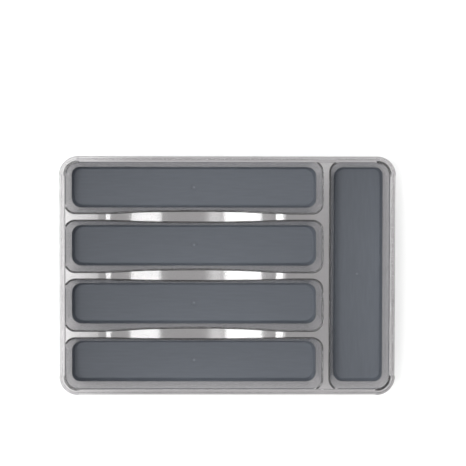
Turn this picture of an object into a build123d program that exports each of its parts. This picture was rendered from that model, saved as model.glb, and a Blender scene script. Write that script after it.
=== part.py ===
from build123d import *
import math
import os

# A cutlery tray with four long wells stacked across it and one side well at the right-hand end.
# Millimetres. X runs along the tray, Y across it from front to back, and Z up from the table.
# The origin is under the middle of the tray, at the height of the table.

# Overall size
tray_length = 395.0
tray_width = 281.0
tray_height = 50.0  # table to the top of the stacking ribs
corner_radius = 22.0  # of the lip's outer corners

# Layout of the wells, measured where their walls meet the lands between them
row_count = 4  # long wells, one behind the other
rim_width = 7.2  # lip edge to the nearest well
divider_width = 10.2
side_well_width = 69.0
inner_corner_radius = 11.5  # well corners that meet a divider
draft_angle = 10.5  # degrees by which every well wall leans outwards

# Walls of the moulded body
wall_thickness = 2.4  # well walls above the liner
skin_thickness = 2.0  # lands, dividers and corner pads
floor_thickness = 2.0  # under the liner
edge_radius = 2.0  # where a well rolls over into a divider

# Rim: the wells' outer walls rise into a bead, with a lower lip outside it between the corners
rib_height = 1.0  # stacking ribs above the bead
bead_height = 2.5  # above the lands
lip_ledge = 2.8  # lip edge to the bead's outer face
lip_drop = 5.0  # bead crest down to the top of the lip
lip_depth = 4.0  # height of the lip's outer face
lip_thickness = 1.8
crest_radius = 1.1  # rounding of the bead's outer edge
brim_radius = 1.5  # rounding of the bead's inner edge, above the wells
lip_radius = 0.9  # rounding of the lip's upper edge
pad_drop = 0.5  # bead crest down to the corner pads

# Stacking ribs, one round each corner, which also stand a little proud of the well wall
rib_width = 3.0
rib_overhang = 1.0
rib_root = 9.0  # how far down the wall a rib runs before it fades out
rib_radius = 0.6  # rounding of its top

# Saddle in the top of each divider, where fingers reach the cutlery
saddle_length = 225.0
saddle_depth = 14.0
saddle_shift = 0.5  # centre of the saddle from the middle of the long wells
shoulder_radius = 70.0  # convex ends of the saddle

# Soft liners
liner_floor = 1.5
liner_wall = 1.2
liner_rise = 13.0  # body floor to the liner's top edge
liner_crease = 2.0  # inside radius where a liner's wall meets its floor
liner_edge = 0.4  # rounding of the liner's top edge
bond_gap = 0.1  # between a liner or a foot and the body
gate_radius = 1.2  # mark left where the liner was filled
gate_height = 0.5
gate_dish_radius = 4.0
gate_dish_depth = 0.3
gate_dish_slope = 45.0  # degrees

# Feet, each in a moulded ring under the body
foot_height = 2.0
foot_radius = 6.0
foot_edge = 0.5  # rounding of the foot's lower edge
foot_inset = 30.0  # foot centre from both outer edges
ring_clearance = 0.15
ring_wall = 1.4
ring_depth = 1.0

overrun = 3.0  # how far a cutter runs past the face that it cuts
closeness = 0.05  # places nearer than this count as one
quarter_turn = 90.0  # degrees

# Levels and places that follow
draft = math.radians(draft_angle)
crest_level = tray_height - rib_height
land_level = crest_level - bead_height
lip_level = crest_level - lip_drop
pad_level = crest_level - pad_drop
below_saddles = land_level - saddle_depth - 2 * edge_radius
floor_level = foot_height + floor_thickness
liner_level = floor_level + liner_rise
well_floor_level = floor_level + liner_floor

half_length = tray_length / 2
half_width = tray_width / 2
field_x = half_length - rim_width
field_y = half_width - rim_width
side_well_start = field_x - side_well_width
long_well_end = side_well_start - divider_width
row_pitch = (2 * field_y + divider_width) / row_count
long_well_width = row_pitch - divider_width
outer_corner_radius = corner_radius - rim_width
saddle_centre = (long_well_end - field_x) / 2 + saddle_shift
saddle_half_width = (
    divider_width / 2 + (saddle_depth + skin_thickness) * math.tan(draft) + wall_thickness / math.cos(draft)
)
corner_signs = [(-1, -1), (1, -1), (-1, 1), (1, 1)]


class Well:
    """One compartment, given by its outline at the level of the lands.

    Its rim corners, given by their signs, run round with the tray's own corners.
    """

    def __init__(self, x_range, y_range, rim_corners):
        self.x_range = x_range
        self.y_range = y_range
        self.rim_corners = rim_corners

    def centre(self):
        """Middle of the well in plan."""
        return sum(self.x_range) / 2, sum(self.y_range) / 2

    def block(self, bottom, top, offset, crease=0.0):
        """Solid that fills the well between two heights, with its walls moved outwards by offset.

        A rim corner is a cone about the upright axis of the tray's corner, so it tightens
        downwards. A corner at a divider keeps its radius. The crease rounds the lower edge.
        """
        spread = offset / math.cos(draft) + (top - land_level) * math.tan(draft)
        lean = (top - bottom) * math.tan(draft)
        length = self.x_range[1] - self.x_range[0] + 2 * spread
        width = self.y_range[1] - self.y_range[0] + 2 * spread
        upside_down = Wedge(length, top - bottom, width, lean, lean, length - lean, width - lean,
                            align=(Align.CENTER, Align.MIN, Align.CENTER))
        solid = Pos(*self.centre(), top) * Rot(-quarter_turn, 0, 0) * upside_down
        for sign_x, sign_y in corner_signs:
            x = self.centre()[0] + sign_x * length / 2
            y = self.centre()[1] + sign_y * width / 2
            if (sign_x, sign_y) in self.rim_corners:
                wide = outer_corner_radius + spread
                square = Pos(x - sign_x * wide / 2, y - sign_y * wide / 2, bottom) * Rectangle(wide, wide)
                cone = Pos(x - sign_x * wide, y - sign_y * wide, bottom) * Cone(
                    wide - lean, wide, top - bottom, align=(Align.CENTER, Align.CENTER, Align.MIN))
                solid -= extrude(square, amount=top - bottom) - cone
            else:
                rising = ShapeList(edge for edge in solid.edges() if edge.bounding_box().size.Z > closeness)
                solid = fillet(rising.sort_by_distance((x, y, top))[0], inner_corner_radius + offset)
        if crease:
            solid = fillet(solid.faces().sort_by(Axis.Z)[0].edges(), crease)
        return solid


def long_well(row):
    """A long well, counted from the back of the tray."""
    back = field_y - row * row_pitch
    rim_corners = []
    if row == 0:
        rim_corners.append((-1, 1))
    if row == row_count - 1:
        rim_corners.append((-1, -1))
    return Well((-field_x, long_well_end), (back - long_well_width, back), rim_corners)


long_wells = [long_well(row) for row in range(row_count)]
side_well = Well((side_well_start, field_x), (-field_y, field_y), [(1, -1), (1, 1)])
wells = long_wells + [side_well]


def plan_block(inset, bottom, top, upper_radius=0.0):
    """The tray's outline moved inwards by inset, raised between two heights."""
    plate = RectangleRounded(tray_length - 2 * inset, tray_width - 2 * inset, corner_radius - inset)
    solid = extrude(Pos(0, 0, bottom) * plate, amount=top - bottom)
    if upper_radius:
        solid = fillet(solid.faces().sort_by(Axis.Z)[-1].edges(), upper_radius)
    return solid


def corner_blocks(margin, bottom, top):
    """The four squares in which the tray's corners curve, less a margin at their ends."""
    side = corner_radius - margin
    blocks = []
    for sign_x, sign_y in corner_signs:
        place = Pos(sign_x * (half_length - side / 2), sign_y * (half_width - side / 2), bottom)
        blocks.append(extrude(place * Rectangle(side, side), amount=top - bottom))
    return blocks


def saddle_cut(divider_y, depth_below):
    """Space above a divider's top, or above a surface a given depth below that top.

    The side view is one long hollow arc between two short convex shoulders that start
    level with the lands, so a deeper surface keeps the arcs' centres.
    """
    half = saddle_length / 2
    reach = (half**2 + saddle_depth**2) / (2 * saddle_depth)  # between the arcs' centres
    shoulder = shoulder_radius - depth_below
    hollow = reach - shoulder_radius + depth_below
    turn = math.asin(half / reach)
    shoulder_z = land_level - shoulder_radius
    hollow_z = land_level - saddle_depth + reach - shoulder_radius
    level = land_level - depth_below
    joint = (hollow * math.sin(turn), hollow_z - hollow * math.cos(turn))
    mid_shoulder = (half - shoulder * math.sin(turn / 2), shoulder_z + shoulder * math.cos(turn / 2))
    bottom = hollow_z - hollow
    top = crest_level + overrun
    outline = [
        ThreePointArc((-half, level), (-mid_shoulder[0], mid_shoulder[1]), (-joint[0], joint[1])),
        ThreePointArc((-joint[0], joint[1]), (0, bottom), joint),
        ThreePointArc(joint, mid_shoulder, (half, level)),
        Polyline((half, level), (half, top), (-half, top), (-half, level)),
    ]
    profile = Plane.XZ * make_face(outline)
    return Pos(saddle_centre, divider_y, 0) * extrude(profile, amount=saddle_half_width, both=True)


def divider_core(divider_y):
    """Block under a saddle, from which its dipping top and its hollow are cut."""
    bottom = land_level - saddle_depth - 2 * skin_thickness
    plate = Pos(saddle_centre, divider_y, bottom) * Rectangle(saddle_length, 2 * saddle_half_width)
    return extrude(plate, amount=land_level - skin_thickness - bottom)


def divider_places():
    """Centre lines of the dividers between the long wells."""
    return [field_y - row * row_pitch + divider_width / 2 for row in range(1, row_count)]


def inside_of_rim(bottom, top):
    """Space within the rim's inner face, which is one with the wells' outer walls."""
    return Well((-field_x, field_x), (-field_y, field_y), corner_signs).block(bottom, top, 0)


def rim_and_lands():
    """The rim: lip, bead and corner pads, solid across down to the lip, with flat lands inside."""
    bottom = lip_level - lip_depth
    lip = plan_block(0, bottom, lip_level, lip_radius)
    bead = plan_block(lip_ledge, bottom, crest_level, crest_radius)
    raised_lip = plan_block(0, bottom, pad_level, lip_radius)
    pads = [raised_lip & block for block in corner_blocks(0, bottom, crest_level)]
    solid = lip + bead + pads
    solid -= inside_of_rim(land_level, crest_level + overrun)
    crest = solid.faces().filter_by(Plane.XY).sort_by(Axis.Z)[-1]
    return fillet(crest.inner_wires()[0].edges(), brim_radius)


def divider_hollows(bottom, rim_inset):
    """Core under every divider, as far as an inset from the tray's edge."""
    reach = (divider_width + inner_corner_radius) / 2
    end_x, end_y = half_length - rim_inset, half_width - rim_inset
    cross_x = (long_well_end + side_well_start) / 2
    plates = [Pos(cross_x, 0, bottom) * Rectangle(2 * reach, 2 * end_y)]
    for divider_y in divider_places():
        place = Pos((cross_x - end_x) / 2, divider_y, bottom)
        plates.append(place * Rectangle(cross_x + end_x, 2 * reach))
    return [extrude(plate, amount=land_level - skin_thickness - bottom) for plate in plates]


def hollow_underside():
    """Everything that is open from below the rim and between the wells."""
    bottom = floor_level - overrun
    channel_top = lip_level - lip_thickness
    lip_channel = plan_block(lip_thickness, bottom, channel_top)
    behind_bead = rim_width - wall_thickness / math.cos(draft) + (land_level - channel_top) * math.tan(draft)
    under_pad = plan_block(lip_thickness, bottom, pad_level - skin_thickness)
    pockets = [under_pad & block for block in corner_blocks(skin_thickness, bottom, crest_level)]
    space = lip_channel + divider_hollows(bottom, behind_bead) + pockets
    for divider_y in divider_places():
        space -= saddle_cut(divider_y, skin_thickness)
    for well in wells:
        space -= tub(well)
    return space


def tub(well):
    """Outside of a well, from the underside of its floor up past the lands."""
    crease = liner_crease + liner_wall + wall_thickness
    return well.block(foot_height, crest_level + overrun, wall_thickness, crease)


def stacking_rib(sign_x, sign_y):
    """Raised rib round one corner of the rim, fading into the well wall below it."""
    path_radius = outer_corner_radius - rib_overhang + rib_width / 2
    centre = (sign_x * (half_length - corner_radius), sign_y * (half_width - corner_radius))
    start = math.degrees(math.atan2(sign_y, sign_x)) - quarter_turn / 2
    path = CenterArc(centre, path_radius, start, quarter_turn)
    rib = extrude(Pos(0, 0, crest_level - rib_root) * SlotArc(path, rib_width), amount=rib_root + rib_height)
    return fillet(rib.faces().sort_by(Axis.Z)[-1].edges(), rib_radius)


def rolled_edges(solid, well):
    """The closed loop of edges where a well's wall meets the lands and the saddles."""
    lowest = land_level - saddle_depth - closeness
    highest = land_level + closeness
    loop = []
    for edge in solid.edges():
        box = edge.bounding_box()
        along = box.min.X > well.x_range[0] - closeness and box.max.X < well.x_range[1] + closeness
        across = box.min.Y > well.y_range[0] - closeness and box.max.Y < well.y_range[1] + closeness
        if along and across and box.min.Z > lowest and box.max.Z < highest:
            loop.append(edge)
    return loop


def between_dividers():
    """Space of the wells and the saddles down to below the saddles, with rolled edges all round.

    The edges are rolled on a plate that reaches past the rim's inner face, where they are cut off.
    """
    spare = 2 * edge_radius
    outline = Rectangle(2 * (field_x + spare), 2 * (field_y + spare))
    plate = extrude(Pos(0, 0, below_saddles) * outline, amount=land_level - below_saddles)
    kept = plate
    for divider_y in divider_places():
        kept -= saddle_cut(divider_y, 0)
    for well in wells:
        kept -= well.block(below_saddles, land_level, 0)
        kept = fillet(rolled_edges(kept, well), edge_radius)
    return (plate - kept) & inside_of_rim(below_saddles, land_level)


def foot_places():
    """Centres of the four feet, each with the name of the corner that it stands under."""
    names = {(-1, -1): "front_left", (1, -1): "front_right", (-1, 1): "back_left", (1, 1): "back_right"}
    x, y = half_length - foot_inset, half_width - foot_inset
    return {name: (sign_x * x, sign_y * y) for (sign_x, sign_y), name in names.items()}


def foot_ring(place):
    """Moulded ring that locates a foot under the floor of a tub."""
    inner = foot_radius + ring_clearance
    ring = Circle(inner + ring_wall) - Circle(inner)
    return extrude(Pos(*place, foot_height - ring_depth) * ring, amount=ring_depth)


def tray_body():
    """The moulded tray: one skin that forms the rim, the dividers and the five tubs."""
    solid = rim_and_lands()
    below_lip = plan_block(lip_ledge, foot_height, lip_level)
    for well in wells:
        solid += tub(well) & below_lip
    for divider_y in divider_places():
        solid += divider_core(divider_y)
    solid -= between_dividers()
    for well in wells:
        solid -= well.block(liner_level, below_saddles, 0)
    for sign_x, sign_y in corner_signs:
        solid += stacking_rib(sign_x, sign_y)
    solid -= hollow_underside()
    for well in wells:
        solid -= well.block(floor_level, liner_level, liner_wall, liner_crease + liner_wall)
    for place in foot_places().values():
        solid += foot_ring(place)
    return solid


def gate_mark(well):
    """Shallow dish with a pip in it, where the soft material was let in: what to cut and to add."""
    place = Pos(*well.centre(), well_floor_level)
    dish = place * Pos(0, 0, -gate_dish_depth) * extrude(
        Circle(gate_dish_radius - gate_dish_depth), amount=gate_dish_depth, taper=-gate_dish_slope)
    pip = place * Pos(0, 0, -gate_dish_depth) * extrude(Circle(gate_radius), amount=gate_height)
    pip = fillet(pip.faces().sort_by(Axis.Z)[-1].edges(), gate_height / 2)
    return dish, pip


def liner(well):
    """Soft liner: a shallow pan that fills the recess flush with the wall above it."""
    outside = well.block(floor_level + bond_gap, liner_level - bond_gap, liner_wall - bond_gap,
                         liner_crease + liner_wall)
    inside = well.block(well_floor_level, liner_level + overrun, 0, liner_crease)
    pan = outside - inside
    top = pan.faces().filter_by(Plane.XY).sort_by(Axis.Z)[-1]
    pan = fillet(top.inner_wires()[0].edges(), liner_edge)
    dish, pip = gate_mark(well)
    return pan - dish + pip


def foot(place):
    """Rubber foot: a plain disc with its lower edge rounded."""
    disc = extrude(Pos(*place, 0) * Circle(foot_radius), amount=foot_height - bond_gap)
    return fillet(disc.faces().sort_by(Axis.Z)[0].edges(), foot_edge)


def pieces():
    """Every piece of the tray under its own name."""
    named = {"tray_body": tray_body()}
    for number, well in enumerate(long_wells, start=1):
        named[f"long_well_liner_{number}"] = liner(well)
    named["side_well_liner"] = liner(side_well)
    for name, place in foot_places().items():
        named[f"foot_{name}"] = foot(place)
    return named


if __name__ == "__main__":
    os.makedirs("parts", exist_ok=True)
    for node, solid in pieces().items():
        export_step(solid, f"parts/{node}.step")
        print(f"{node}: {solid.volume / 1000:.1f} cubic centimetres")
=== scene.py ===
# %% [markdown]
# A cutlery tray, dressed for its picture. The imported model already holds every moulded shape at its
# real size: the tray, its five soft liners and its four feet. So this lesson is about finish and
# light: a clear smoke-grey plastic, a matt soft liner, and a studio that makes both of them
# readable. Everything is in metres, and the model is never moved.

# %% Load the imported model
import math

import bpy
from mathutils import Euler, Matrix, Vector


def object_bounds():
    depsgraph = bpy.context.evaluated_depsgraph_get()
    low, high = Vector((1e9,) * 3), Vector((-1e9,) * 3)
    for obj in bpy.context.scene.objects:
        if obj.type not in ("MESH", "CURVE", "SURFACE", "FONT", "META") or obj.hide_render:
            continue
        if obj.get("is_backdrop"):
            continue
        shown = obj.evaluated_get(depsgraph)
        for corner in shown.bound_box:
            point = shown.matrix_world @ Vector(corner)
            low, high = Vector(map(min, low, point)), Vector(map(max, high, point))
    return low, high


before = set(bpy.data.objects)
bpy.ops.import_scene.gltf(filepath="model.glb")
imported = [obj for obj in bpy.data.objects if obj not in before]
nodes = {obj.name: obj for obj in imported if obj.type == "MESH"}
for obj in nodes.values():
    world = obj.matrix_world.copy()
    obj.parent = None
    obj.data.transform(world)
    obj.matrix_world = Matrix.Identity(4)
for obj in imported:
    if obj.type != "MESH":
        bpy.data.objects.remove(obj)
cad_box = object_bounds()
low, high = cad_box
MILLIMETRE = 0.001
print("nodes:", sorted(nodes))
print("size in millimetres:", [round(side / MILLIMETRE, 1) for side in high - low])

# %% [markdown]
# Four small helpers carry all the materials. Colours are written as sRGB hex, the way a designer
# picks them, and are turned to linear light once. The grain of a pattern is given as a real size in
# millimetres. One function adds a node with its settings and its links, so that a material reads
# like a list of what is in it, and one starts an empty material.

# %% Helpers for colours and nodes
def linear(hex_colour):
    """An sRGB colour such as 9a9b9d as linear red, green, blue and alpha."""
    channels = [int(hex_colour[i:i + 2], 16) / 255 for i in (0, 2, 4)]
    return [c / 12.92 if c <= 0.04045 else ((c + 0.055) / 1.055) ** 2.4 for c in channels] + [1.0]


def grain(size):
    """Texture scale for a grain of a given size in millimetres, on coordinates in metres."""
    return 1 / (size * MILLIMETRE)


def add(tree, kind, settings=None, inputs=None):
    """Adds a node. An input takes a plain value, a socket, or a node whose first output is used."""
    node = tree.nodes.new(kind)
    for name, value in (settings or {}).items():
        setattr(node, name, value)
    for key, value in (inputs or {}).items():
        socket = node.inputs[key]
        if isinstance(value, bpy.types.Node):
            tree.links.new(value.outputs[0], socket)
        elif isinstance(value, bpy.types.NodeSocket):
            tree.links.new(value, socket)
        else:
            socket.default_value = value
    return node


def empty_material(name):
    """A new material with no nodes in it."""
    material = bpy.data.materials.new(name)
    material.use_nodes = True
    material.node_tree.nodes.clear()
    return material


print("mid grey is", round(linear("808080")[0], 3), "in linear light")

# %% [markdown]
# The photograph looks straight down from about two metres, a little behind the tray's middle, with
# a long lens. The place and the slight tilt were worked out from where the rims, the wells and the
# floors appear in it, so that each rim covers the wall below it by the right amount. The focal
# length is kept in pixels, because that is how it was found, and is turned into millimetres here.

# %% Camera
IMAGE_SIDE = 466  # pixels, both ways
SENSOR = 36.0  # millimetres
FOCAL = 1711.0  # pixels
CAMERA_PLACE = (-0.0189, 0.1293, 2.054)
CAMERA_TILT = (-2.248, -0.719, 0.084)  # degrees about X, Y and Z

camera_data = bpy.data.cameras.new("overhead_camera")
camera_data.sensor_width = SENSOR
camera_data.lens = FOCAL / IMAGE_SIDE * SENSOR
camera_data.clip_end = 20.0
camera = bpy.data.objects.new("overhead_camera", camera_data)
camera.location = CAMERA_PLACE
camera.rotation_euler = Euler([math.radians(angle) for angle in CAMERA_TILT])
bpy.context.scene.collection.objects.link(camera)
bpy.context.scene.camera = camera
print("lens:", round(camera_data.lens, 1), "mm")

# %% [markdown]
# The stage is a wide pale sheet just under the feet. It takes the tray's shadow as any floor does.
# Some light is added to it where the eye or a reflection meets it, and a trace of it where clear
# plastic is looked through. That turns pale into white without putting more light on the tray. A
# whiter sheet would do it too, but it would throw too much light up through the plastic.

# %% Sheet material
SHEET_COLOUR = "dadad9"
SHEET_LIFT = 0.45  # added where the sheet is seen directly or in a reflection
SHEET_LIFT_THROUGH = 0.05  # added where it is seen through the plastic


def pale_sheet():
    """Matt studio paper that looks white where it is seen, and that still takes a shadow."""
    material = empty_material("pale_studio_sheet")
    tree = material.node_tree
    path = add(tree, "ShaderNodeLightPath")
    seen = add(tree, "ShaderNodeMath", {"operation": "MAXIMUM"},
               {0: path.outputs["Is Camera Ray"], 1: path.outputs["Is Glossy Ray"]})
    direct = add(tree, "ShaderNodeMath", {"operation": "MULTIPLY"}, {0: seen, 1: SHEET_LIFT})
    through = add(tree, "ShaderNodeMath", {"operation": "MULTIPLY"},
                  {0: path.outputs["Is Transmission Ray"], 1: SHEET_LIFT_THROUGH})
    lift = add(tree, "ShaderNodeMath", {"operation": "MAXIMUM"}, {0: direct, 1: through})
    surface = add(tree, "ShaderNodeBsdfPrincipled", None, {
        "Base Color": linear(SHEET_COLOUR), "Roughness": 0.9,
        "Emission Color": linear("ffffff"), "Emission Strength": lift})
    add(tree, "ShaderNodeOutputMaterial", None, {"Surface": surface})
    return material


sheet = pale_sheet()
print(sheet.name, "has", len(sheet.node_tree.nodes), "nodes")

# %% Floor
FLOOR_HALF = 3.0
FLOOR_GAP = 0.02 * MILLIMETRE

floor_z = low.z - FLOOR_GAP
corners = [(-FLOOR_HALF, -FLOOR_HALF, floor_z), (FLOOR_HALF, -FLOOR_HALF, floor_z),
           (FLOOR_HALF, FLOOR_HALF, floor_z), (-FLOOR_HALF, FLOOR_HALF, floor_z)]
floor_mesh = bpy.data.meshes.new("floor")
floor_mesh.from_pydata(corners, [], [(0, 1, 2, 3)])
floor_mesh.materials.append(sheet)
floor = bpy.data.objects.new("floor", floor_mesh)
bpy.context.scene.collection.objects.link(floor)
floor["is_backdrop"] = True
print("floor at", round(floor_z / MILLIMETRE, 2), "mm")

# %% [markdown]
# Two soft boxes hang high on the left and on the right, outside the mirror angle of every flat
# face, so flat plastic stays grey. The dipping tops of the dividers do turn towards them, which
# gives each divider a long bright patch in its hollow and a short one on its shoulder, as in the
# photograph. The edge of a box fades over a few centimetres, as cloth over a frame does. The third
# lamp stands for the light that the left box spills on the ceiling beside it. It is faint and fades
# all the way to its middle, and flat plastic at the tray's left end mirrors it as a soft gradient.

# %% A lamp that fades along its edges
def cloth_fade(tree, size, fade):
    """The share of light across a lamp of this size: 1 in the middle, 0 at its edges."""
    here = add(tree, "ShaderNodeNewGeometry")
    across = add(tree, "ShaderNodeSeparateXYZ", None, {0: here.outputs["Parametric"]})
    share = None
    for axis, side in enumerate(size):
        offset = add(tree, "ShaderNodeMath", {"operation": "SUBTRACT"},
                     {0: across.outputs[axis], 1: 0.5})
        distance = add(tree, "ShaderNodeMath", {"operation": "ABSOLUTE"}, {0: offset})
        edge = add(tree, "ShaderNodeMapRange", {"interpolation_type": "SMOOTHSTEP"},
                   {"Value": distance, "From Min": 0.5 - fade / side, "From Max": 0.5,
                    "To Min": 1.0, "To Max": 0.0})
        share = add(tree, "ShaderNodeMath", {"operation": "MULTIPLY"}, {0: edge, 1: share or 1.0})
    return share


def soft_box(name, place, size, radiance, turn, fade):
    """A rectangular lamp that faces straight down and fades out along its edges."""
    lamp = bpy.data.lights.new(name, "AREA")
    lamp.shape = "RECTANGLE"
    lamp.size, lamp.size_y = size
    lamp.energy = radiance * math.pi * size[0] * size[1]
    lamp.use_nodes = True
    tree = lamp.node_tree
    tree.nodes.clear()
    glow = add(tree, "ShaderNodeEmission", None, {"Strength": cloth_fade(tree, size, fade)})
    add(tree, "ShaderNodeOutputLight", None, {"Surface": glow})
    holder = bpy.data.objects.new(name, lamp)
    holder.location = place
    holder.rotation_euler = (0, 0, math.radians(turn))
    bpy.context.scene.collection.objects.link(holder)


print("a fade of half a lamp's width leaves only its middle at full strength")

# %% Hang the lamps
SOFT_BOXES = (
    # name, place and size in metres, radiance, turn in degrees, width of the fading edge in metres
    ("left_soft_box", (-1.28, -0.15, 4.55), (1.00, 1.70), 12.5, -4.0, 0.05),
    ("right_soft_box", (1.084, -0.15, 4.55), (0.79, 1.50), 9.5, 4.0, 0.05),
    ("left_spill", (-0.59, -0.22, 4.60), (0.62, 1.70), 4.5, -4.0, 0.31),
)
for row in SOFT_BOXES:
    soft_box(*row)

# %% [markdown]
# The room is bright at the horizon and falls off, with a square, to a dark ceiling, so steep walls
# and the liners' edges get light from the side while flat plastic mirrors little. It is brighter on
# one side, as a room with a window is. One background shader does this from the direction alone,
# where panels all round would need a lamp for each side. The eye itself meets plain white instead,
# as behind a paper sweep, so a low view shows no dim corner of the room past the end of the sheet.

# %% Surroundings
HORIZON = 4.6
OVERHEAD = 0.08
WINDOW_SIDE = (-0.75, 0.40, 0.0)
ROOM_COLOUR = "f4f5f6"

world = bpy.data.worlds.new("studio")
bpy.context.scene.world = world
world.use_nodes = True
tree = world.node_tree
tree.nodes.clear()
place = add(tree, "ShaderNodeTexCoord")
direction = add(tree, "ShaderNodeSeparateXYZ", None, {0: place.outputs["Generated"]})
lowness = add(tree, "ShaderNodeMapRange", None,
              {"Value": direction.outputs["Z"], "To Min": 1.0, "To Max": 0.0})
falling = add(tree, "ShaderNodeMath", {"operation": "POWER"}, {0: lowness, 1: 2.0})
height = add(tree, "ShaderNodeMapRange", None,
             {"Value": falling, "To Min": OVERHEAD, "To Max": HORIZON})
side = add(tree, "ShaderNodeVectorMath", {"operation": "DOT_PRODUCT"},
           {0: place.outputs["Generated"], 1: WINDOW_SIDE})
uneven = add(tree, "ShaderNodeMath", {"operation": "ADD"}, {0: side.outputs["Value"], 1: 1.0})
strength = add(tree, "ShaderNodeMath", {"operation": "MULTIPLY"}, {0: height, 1: uneven})
surround = add(tree, "ShaderNodeBackground", None,
               {"Color": linear(ROOM_COLOUR), "Strength": strength})
sweep = add(tree, "ShaderNodeBackground", None, {"Color": linear("ffffff"), "Strength": 1.0})
path = add(tree, "ShaderNodeLightPath")
shown = add(tree, "ShaderNodeMixShader", None,
            {0: path.outputs["Is Camera Ray"], 1: surround, 2: sweep})
add(tree, "ShaderNodeOutputWorld", None, {"Surface": shown})
print("room strength from", HORIZON, "at the horizon to", OVERHEAD, "overhead")

# %% [markdown]
# The tray is clear SAN tinted smoke grey, injection moulded in a polished tool. Its faces mirror
# like glass, light goes through it, and the tint takes its share along the way. So most of the grey
# is absorption in the depth, and a rib or a long way through a wall comes out darker than a thin
# land. A small share of the surface is haze, which scatters light as dust and fine scratches do. No
# mould is perfectly flat: waves of about a centimetre, a few thousandths of a millimetre deep, and
# fine flow streaks break up the edge of every reflection. The waves are bump, since they are too
# shallow for geometry, and the streaks change the roughness.

# %% Smoke plastic
SAN_IOR = 1.57
CLEAR_SHARE = 0.92  # the rest of the surface is haze
SURFACE_TINT = "d0cecf"
DEPTH_TINT = "bcbabb"
DEPTH_DENSITY = 90.0  # per metre
POLISH = (0.03, 0.10)  # roughness between the streaks and in them
WAVE = 12.0  # millimetres across one wave
WAVE_DEPTH = 0.006  # millimetres
STREAK = 1.6  # millimetres across
STREAK_STRETCH = (0.12, 1.0, 1.0)  # makes a streak eight times as long along the tray


def smoke_plastic():
    """Clear smoke-grey SAN from a polished mould."""
    material = empty_material("clear_smoke_san")
    tree = material.node_tree
    place = add(tree, "ShaderNodeTexCoord")
    wave = add(tree, "ShaderNodeTexNoise", None,
               {"Vector": place.outputs["Object"], "Scale": grain(WAVE), "Detail": 1.0})
    bump = add(tree, "ShaderNodeBump", None,
               {"Height": wave, "Strength": 1.0, "Distance": WAVE_DEPTH * MILLIMETRE})
    along = add(tree, "ShaderNodeMapping", None,
                {"Vector": place.outputs["Object"], "Scale": STREAK_STRETCH})
    streak = add(tree, "ShaderNodeTexNoise", None,
                 {"Vector": along, "Scale": grain(STREAK), "Detail": 3.0})
    roughness = add(tree, "ShaderNodeMapRange", None,
                    {"Value": streak, "From Min": 0.3, "From Max": 0.7,
                     "To Min": POLISH[0], "To Max": POLISH[1]})
    body = add(tree, "ShaderNodeBsdfPrincipled", None, {
        "Base Color": linear(SURFACE_TINT), "Roughness": roughness, "IOR": SAN_IOR,
        "Transmission Weight": CLEAR_SHARE, "Normal": bump})
    depth = add(tree, "ShaderNodeVolumeAbsorption", None,
                {"Color": linear(DEPTH_TINT), "Density": DEPTH_DENSITY})
    add(tree, "ShaderNodeOutputMaterial", None, {"Surface": body, "Volume": depth})
    return material


plastic = smoke_plastic()
print(plastic.name, "has", len(plastic.node_tree.nodes), "nodes")

# %% [markdown]
# Each liner was filled through one gate in the middle of its floor, which left a small moulded mark.
# The rubber is painted paler round it: a painted highlight for the light that the mark catches. The
# spot could be painted liner by liner. It is drawn by distance instead, and the pitch of the wells
# repeats it, so one material serves all four.

# %% Gate spot
# the paler spot is a painted highlight on the gate mark
GATE_HIGHLIGHT_RADIUS = 2.2  # millimetres, radius of the paler spot


def gate_highlight_mask(tree, place, gate_x, gate_y, pitch):
    """The share of the painted highlight round a gate: 1 at the gate, fading to 0 round it. It
    repeats every pitch across the tray.
    """
    spot = add(tree, "ShaderNodeSeparateXYZ", None, {0: place.outputs["Object"]})
    gate_dx = add(tree, "ShaderNodeMath", {"operation": "SUBTRACT"},
                  {0: spot.outputs["X"], 1: gate_x * MILLIMETRE})
    shifted = add(tree, "ShaderNodeMath", {"operation": "SUBTRACT"},
                  {0: spot.outputs["Y"], 1: gate_y * MILLIMETRE})
    half = pitch / 2 * MILLIMETRE
    gate_dy = add(tree, "ShaderNodeMath", {"operation": "WRAP"}, {0: shifted, 1: half, 2: -half})
    apart = add(tree, "ShaderNodeCombineXYZ", None, {"X": gate_dx, "Y": gate_dy})
    far = add(tree, "ShaderNodeVectorMath", {"operation": "LENGTH"}, {0: apart})
    return add(tree, "ShaderNodeMapRange", {"interpolation_type": "SMOOTHSTEP"},
               {"Value": far.outputs["Value"], "From Min": 0.0,
                "From Max": GATE_HIGHLIGHT_RADIUS * MILLIMETRE, "To Min": 1.0, "To Max": 0.0})


print("gate spots are", 2 * GATE_HIGHLIGHT_RADIUS, "mm across")

# %% [markdown]
# The liners are a soft thermoplastic rubber, moulded into recesses of the wells. It is slate grey
# and matt, with a fine spark-eroded grain that keeps cutlery from sliding, and with faint streaks
# along the well, the way the rubber flowed. The grain is bump and the streaks are colour. The side
# well runs the other way, so the streaks are turned for it.

# %% Soft liners
LINER_DARK = "676c74"
LINER_PALE = "72777f"
# painted highlight: a paler rubber colour round each gate mark, for the light the mark catches
LINER_GATE_HIGHLIGHT = "8b9096"
LINER_ROUGHNESS = 0.65
LINER_GRAIN = 0.9  # millimetres, drawn coarser than the real grain, which is too fine to show
LINER_GRAIN_DEPTH = 0.1  # millimetres
FLOW_WIDTH = 2.5  # millimetres


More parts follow.
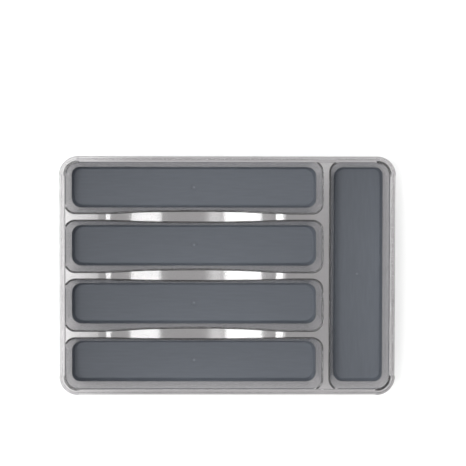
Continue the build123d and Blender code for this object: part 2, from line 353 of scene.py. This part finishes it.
def soft_liner(name, stretch, gate_x, gate_y, pitch):
    """Matt slate-grey TPR with a spark-eroded grain. The stretch says which way it flowed."""
    material = empty_material(name)
    tree = material.node_tree
    place = add(tree, "ShaderNodeTexCoord")
    along = add(tree, "ShaderNodeMapping", None,
                {"Vector": place.outputs["Object"], "Scale": stretch})
    flow = add(tree, "ShaderNodeTexNoise", None,
               {"Vector": along, "Scale": grain(FLOW_WIDTH), "Detail": 4.0})
    shade = add(tree, "ShaderNodeMix", {"data_type": "RGBA"},
                {0: flow, 6: linear(LINER_DARK), 7: linear(LINER_PALE)})
    fine = add(tree, "ShaderNodeTexNoise", None,
               {"Vector": place.outputs["Object"], "Scale": grain(LINER_GRAIN), "Detail": 2.0})
    bump = add(tree, "ShaderNodeBump", None,
               {"Height": fine, "Strength": 0.5, "Distance": LINER_GRAIN_DEPTH * MILLIMETRE})
    # paler colour round the gate mark: a painted highlight
    gate = gate_highlight_mask(tree, place, gate_x, gate_y, pitch)
    with_gate_highlight = add(tree, "ShaderNodeMix", {"data_type": "RGBA"},
                  {0: gate, 6: shade.outputs["Result"], 7: linear(LINER_GATE_HIGHLIGHT)})
    surface = add(tree, "ShaderNodeBsdfPrincipled", None, {
        "Base Color": with_gate_highlight.outputs["Result"], "Roughness": LINER_ROUGHNESS, "Normal": bump})
    add(tree, "ShaderNodeOutputMaterial", None, {"Surface": surface})
    return material


# %% One rubber for each direction of flow
WELL_PITCH = 69.2  # millimetres between the middles of two long wells
LONG_WELLS_X = -39.6  # millimetres, where the middles of the long wells are
SIDE_WELL_X = 155.8  # millimetres
TRAY_WIDTH = 281.0  # millimetres, so that the side well's gate isn't repeated
ALONG_TRAY = (0.1, 1.0, 1.0)
ACROSS_TRAY = (1.0, 0.1, 1.0)

long_liner = soft_liner("moulded_tpr_long_wells", ALONG_TRAY,
                        LONG_WELLS_X, WELL_PITCH / 2, WELL_PITCH)
side_liner = soft_liner("moulded_tpr_side_well", ACROSS_TRAY, SIDE_WELL_X, 0.0, TRAY_WIDTH)
print("rubbers:", long_liner.name, "and", side_liner.name)

# %% [markdown]
# The feet are small discs of a denser, darker rubber pressed into rings under the floor. They are
# cut from sheet, so they are plain and dull, with only a slight cloudiness.

# %% Foot rubber
FOOT_COLOUR = "4b4f53"
FOOT_CLOUD = 1.5  # millimetres across one cloud
FOOT_CLOUD_DEPTH = 0.05  # millimetres


def foot_rubber():
    """Dull dark-grey rubber."""
    material = empty_material("pressed_foot_rubber")
    tree = material.node_tree
    place = add(tree, "ShaderNodeTexCoord")
    cloud = add(tree, "ShaderNodeTexNoise", None,
                {"Vector": place.outputs["Object"], "Scale": grain(FOOT_CLOUD), "Detail": 3.0})
    roughness = add(tree, "ShaderNodeMapRange", None,
                    {"Value": cloud, "To Min": 0.7, "To Max": 0.9})
    bump = add(tree, "ShaderNodeBump", None,
               {"Height": cloud, "Strength": 0.6, "Distance": FOOT_CLOUD_DEPTH * MILLIMETRE})
    surface = add(tree, "ShaderNodeBsdfPrincipled", None, {
        "Base Color": linear(FOOT_COLOUR), "Roughness": roughness, "Normal": bump})
    add(tree, "ShaderNodeOutputMaterial", None, {"Surface": surface})
    return material


feet = foot_rubber()
print(feet.name, "has", len(feet.node_tree.nodes), "nodes")

# %% [markdown]
# Each node of the model gets one finish, chosen by how its name starts. Nothing is moved or cut:
# only the material slots are set.

# %% Dress the model
FINISHES = {
    "tray_body": plastic,
    "long_well_liner": long_liner,
    "side_well_liner": side_liner,
    "foot": feet,
}


def finish_of(name):
    """The finish of a node, from the start of its name."""
    return next(finish for start, finish in FINISHES.items() if name.startswith(start))


for name, node in nodes.items():
    node.data.materials.clear()
    node.data.materials.append(finish_of(name))
    print(name, "->", node.data.materials[0].name)

# %% [markdown]
# The look stays plain: standard colours, so that a hex value renders about as it is written. The
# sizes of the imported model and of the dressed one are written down, so that both can be compared.

# %% Finish
bpy.context.scene.view_settings.view_transform = "Standard"
visual_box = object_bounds()
dressed_size = [round(side / MILLIMETRE, 1) for side in visual_box[1] - visual_box[0]]
print("dressed size in millimetres:", dressed_size)
